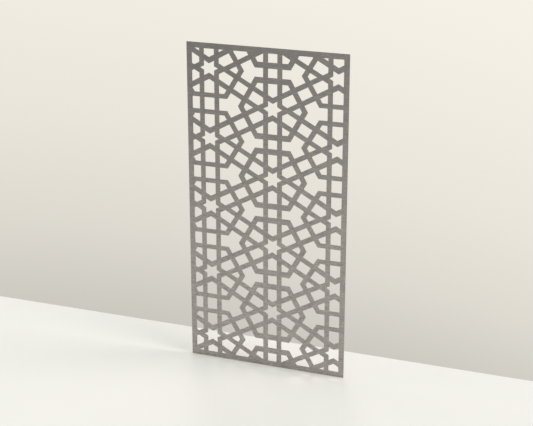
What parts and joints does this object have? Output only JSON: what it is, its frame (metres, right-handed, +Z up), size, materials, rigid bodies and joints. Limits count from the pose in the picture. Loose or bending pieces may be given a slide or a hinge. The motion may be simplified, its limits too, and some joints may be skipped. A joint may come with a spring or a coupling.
{
  "type": "decorative metal screen",
  "caption": "Flat laser-cut metal screen: an upright rectangle with a plain border, pierced by a strapwork pattern of six-pointed stars.",
  "frame": {"origin": "middle of the bottom edge, half-way through the sheet's thickness", "axes": "+Z up along the height, +X to the right seen from the front, the front face looks along -Y and the back face along +Y"},
  "size_m": [1.2, 0.003, 2.4],
  "materials": {
    "metal": "fine level brushing, satin, slightly warm grey"
  },
  "bodies": {
    "root": {"screen_panel": "metal"}
  },
  "joints": []
}
